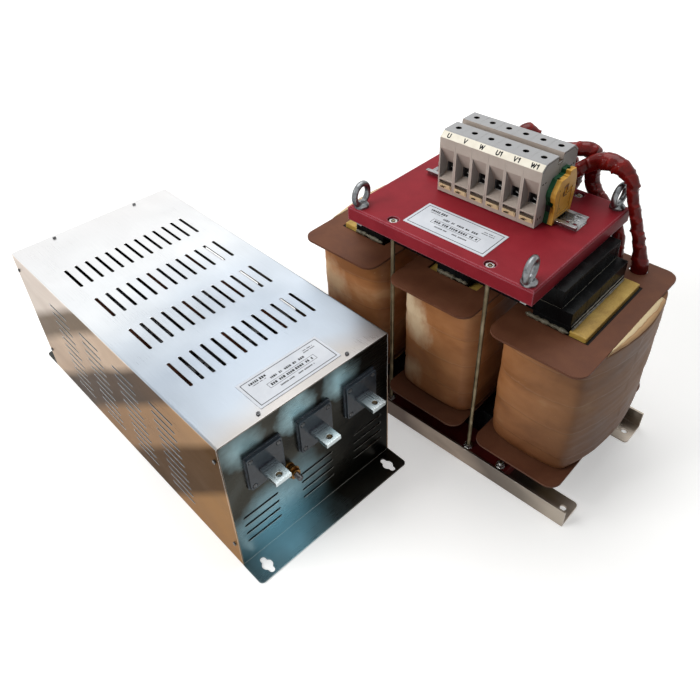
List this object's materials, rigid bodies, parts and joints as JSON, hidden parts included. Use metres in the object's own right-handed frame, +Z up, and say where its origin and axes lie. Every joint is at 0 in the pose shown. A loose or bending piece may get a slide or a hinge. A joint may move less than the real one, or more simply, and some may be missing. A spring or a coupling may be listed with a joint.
{
  "type": "sine wave filter",
  "caption": "Three-phase sine wave filter: an open choke with windings, rails and a terminal row, beside its vented steel capacitor block.",
  "frame": {"origin": "on the floor, in the middle of the choke's four fixing holes", "axes": "+X along the choke's rails from the left winding to the right one, +Y from the front windings' face to the leads' side, +Z up; the capacitor block stands at -X and -Y"},
  "size_m": [0.8509, 0.604, 0.438],
  "materials": {
    "zinc_steel": "galvanised, satin",
    "plated_steel": "zinc-plated, semi-gloss",
    "bottom_laminate": "dark red laminate, satin",
    "top_laminate": "red laminate, satin",
    "brass_rod": "dull",
    "core": "black varnish, semi-gloss",
    "glass_fibre": "yellow glass-fibre laminate, satin",
    "winding_paper": "varnished insulating paper, satin",
    "cuff_paper": "cream insulating paper, matt",
    "pressboard": "varnished pressboard, satin",
    "lead_tape": "varnished tape, semi-gloss",
    "terminal_plastic": "moulded, satin",
    "terminal_foot": "moulded, satin",
    "marker_plastic": "moulded, satin",
    "green_plastic": "moulded, satin",
    "yellow_plastic": "moulded, satin",
    "label": "printed foil, semi-gloss",
    "block_steel": "bare sheet, satin",
    "insulator_plastic": "moulded, semi-gloss",
    "tinned_copper": "tinned, satin",
    "can_aluminium": "drawn, satin",
    "copper": "bare copper, satin"
  },
  "bodies": {
    "root": {"front_rail": "zinc_steel", "rear_rail": "zinc_steel", "rail_screws": "plated_steel", "bottom_plate": "bottom_laminate", "top_plate": "top_laminate", "tie_rods": "brass_rod", "plate_nuts": "plated_steel", "eyebolts": "plated_steel", "eyebolt_nuts": "plated_steel", "top_yoke_outer": "core", "top_yoke_inner": "core", "bottom_yoke_inner": "core", "bottom_yoke_outer": "core", "limb_left": "core", "limb_middle": "core", "limb_right": "core", "gap_plates": "glass_fibre", "limb_wedges": "glass_fibre", "coil_supports": "glass_fibre", "coil_left": "winding_paper", "coil_middle": "winding_paper", "coil_right": "winding_paper", "coil_cuffs": "cuff_paper", "top_flange_left": "pressboard", "top_flange_middle": "pressboard", "top_flange_right": "pressboard", "bottom_flange_left": "pressboard", "bottom_flange_middle": "pressboard", "bottom_flange_right": "pressboard", "lead_u": "lead_tape", "lead_v": "lead_tape", "lead_w": "lead_tape", "lead_u1": "lead_tape", "lead_v1": "lead_tape", "lead_w1": "lead_tape", "din_rail": "zinc_steel", "din_rail_screws": "plated_steel", "terminal_bodies": "terminal_plastic", "terminal_cages": "plated_steel", "terminal_screws": "plated_steel", "terminal_feet": "terminal_foot", "marker_strip": "marker_plastic", "earth_terminal_green": "green_plastic", "earth_terminal_yellow": "yellow_plastic", "choke_label": "label", "block_cover": "block_steel", "front_panel": "block_steel", "rear_panel": "block_steel", "base_sheet": "block_steel", "block_screws": "plated_steel", "insulators": "insulator_plastic", "terminal_bars": "tinned_copper", "earth_stud": "plated_steel", "earth_stud_nuts": "plated_steel", "capacitor_cans": "can_aluminium", "can_shelf": "zinc_steel", "cross_beams": "glass_fibre", "phase_bars": "copper", "block_label": "label"}
  },
  "joints": []
}
